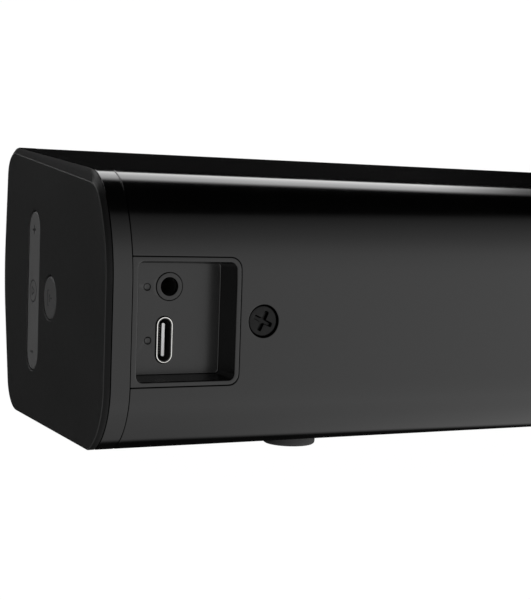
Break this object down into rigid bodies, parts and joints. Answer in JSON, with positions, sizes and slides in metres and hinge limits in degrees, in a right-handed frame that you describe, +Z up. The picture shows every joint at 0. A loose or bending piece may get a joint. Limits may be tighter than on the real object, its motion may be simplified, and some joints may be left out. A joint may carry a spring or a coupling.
{
  "type": "soundbar",
  "caption": "Compact bar speaker with a wrapped satin shell, end caps, side keys, a recessed port tub at the back and a full-width perforated front grille.",
  "frame": {"origin": "centre of the footprint, on the plane that the rubber feet stand on", "axes": "+X runs along the bar to the end with the keys, -Y is the front with the grille, +Z is up"},
  "size_m": [0.41, 0.072, 0.0608],
  "materials": {
    "shell_plastic": "satin black moulded shell",
    "cap_plastic": "satin black moulded end caps",
    "panel_plastic": "fine matt texture",
    "insert_plastic": "satin black port frame",
    "key_rubber": "soft grey keys",
    "inner_plastic": "plain moulded",
    "grille_steel": "black powder coat",
    "grille_fabric": "thin open weave",
    "nickel": "bright nickel plate",
    "tongue_plastic": "pale moulded tongue with contacts",
    "light_pipe": "dark translucent",
    "board_green": "solder mask",
    "component_black": "moulded components",
    "capacitor_sleeve": "sleeve",
    "socket_plastic": "natural nylon",
    "heat_sink_metal": "extruded",
    "cell_wrap": "shrink wrap",
    "lead_insulation": "pvc",
    "basket_steel": "stamped, black",
    "magnet_ferrite": "ferrite, unpainted",
    "plated_steel": "zinc plated",
    "cone_paper": "coated pulp",
    "coil_copper": "enamelled copper",
    "surround_rubber": "butyl",
    "spider_cloth": "resin treated cloth",
    "seal_foam": "closed cell foam",
    "black_screw": "black oxide",
    "foot_rubber": "matt rubber"
  },
  "bodies": {
    "housing": {"battery_cells": "cell_wrap", "battery_holder": "inner_plastic", "board_chips": "component_black", "board_screws": "black_screw", "board_sockets": "socket_plastic", "capacitors": "capacitor_sleeve", "control_board": "board_green", "end_cap_screws": "black_screw", "front_baffle": "inner_plastic", "front_grille": "grille_steel", "grille_cloth": "grille_fabric", "grille_frame": "inner_plastic", "heat_sink": "heat_sink_metal", "internal_leads": "lead_insulation", "jack_body": "component_black", "jack_collar": "component_black", "jack_contacts": "nickel", "key_panel": "panel_plastic", "key_switches": "component_black", "left_end_cap": "cap_plastic", "left_panel": "panel_plastic", "magnet_plates": "plated_steel", "magnet_yokes": "plated_steel", "magnets": "magnet_ferrite", "main_board": "board_green", "panel_gaskets": "seal_foam", "port_board": "board_green", "port_insert": "insert_plastic", "radiator_frame": "inner_plastic", "radiator_surround": "surround_rubber", "radio_antenna": "board_green", "rear_screws": "black_screw", "rear_shell": "shell_plastic", "right_end_cap": "cap_plastic", "rubber_feet": "foot_rubber", "speaker_baskets": "basket_steel", "speaker_gaskets": "seal_foam", "speaker_screws": "black_screw", "spiders": "spider_cloth", "status_lights": "light_pipe", "surrounds": "surround_rubber", "usb_c_shell": "nickel", "usb_c_tongue": "tongue_plastic"},
    "rocker_carrier": {"rocker_carrier": "inner_plastic", "rocker_pin": "plated_steel"},
    "volume_rocker": {"volume_rocker": "key_rubber"},
    "source_button": {"source_button": "key_rubber"},
    "left_cone": {"left_cone": "cone_paper", "left_dust_cap": "cone_paper", "left_voice_coil": "coil_copper"},
    "right_cone": {"right_cone": "cone_paper", "right_dust_cap": "cone_paper", "right_voice_coil": "coil_copper"},
    "radiator": {"radiator_plate": "cone_paper", "radiator_weight": "plated_steel"}
  },
  "joints": [
    {"name": "centre_press", "type": "slide", "parent": "housing", "child": "rocker_carrier", "axis": [-1, 0, 0], "range_m": [0, 0.0004], "stiffness_N_per_m": 900},
    {"name": "volume_rock", "type": "hinge", "parent": "rocker_carrier", "child": "volume_rocker", "pos_m": [0.2015, -0.0101, 0.03], "axis": [0, 1, 0], "range_deg": [-1.5, 1.5], "stiffness_Nm_per_rad": 0.05},
    {"name": "source_press", "type": "slide", "parent": "housing", "child": "source_button", "axis": [-1, 0, 0], "range_m": [0, 0.0004], "stiffness_N_per_m": 900},
    {"name": "left_cone_travel", "type": "slide", "parent": "housing", "child": "left_cone", "axis": [0, -1, 0], "range_m": [-0.0015, 0.0015], "stiffness_N_per_m": 900},
    {"name": "right_cone_travel", "type": "slide", "parent": "housing", "child": "right_cone", "axis": [0, -1, 0], "range_m": [-0.0015, 0.0015], "stiffness_N_per_m": 900},
    {"name": "radiator_travel", "type": "slide", "parent": "housing", "child": "radiator", "axis": [0, -1, 0], "range_m": [-0.002, 0.002], "stiffness_N_per_m": 700}
  ]
}
